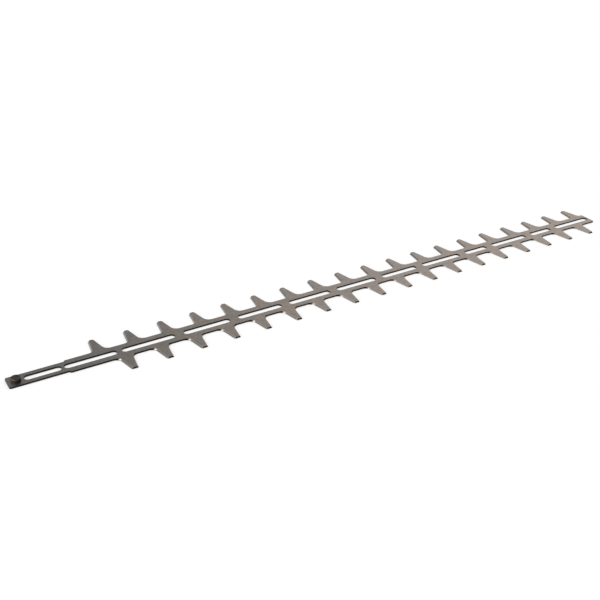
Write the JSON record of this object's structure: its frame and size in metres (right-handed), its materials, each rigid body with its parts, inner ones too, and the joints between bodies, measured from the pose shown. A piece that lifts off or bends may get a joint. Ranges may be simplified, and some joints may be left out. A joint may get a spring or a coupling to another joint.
{
  "type": "hedge trimmer blade",
  "caption": "Flat reciprocating hedge trimmer blade: punched steel strip with staggered rows of cutting teeth, a line of guide slots and a riveted drive pin.",
  "frame": {"origin": "middle of the blade's box, on its underside", "axes": "+X from the driven end towards the tip, +Y towards the row with one more tooth, +Z the way the drive pin points"},
  "size_m": [0.73, 0.0624, 0.0053],
  "materials": {
    "blade_steel": "satin, warm grey from hardening, punched edges, ground tooth flanks",
    "pin_steel": "dark, blackened and oiled"
  },
  "bodies": {
    "root": {"blade": "blade_steel", "drive_pin": "pin_steel"}
  },
  "joints": []
}
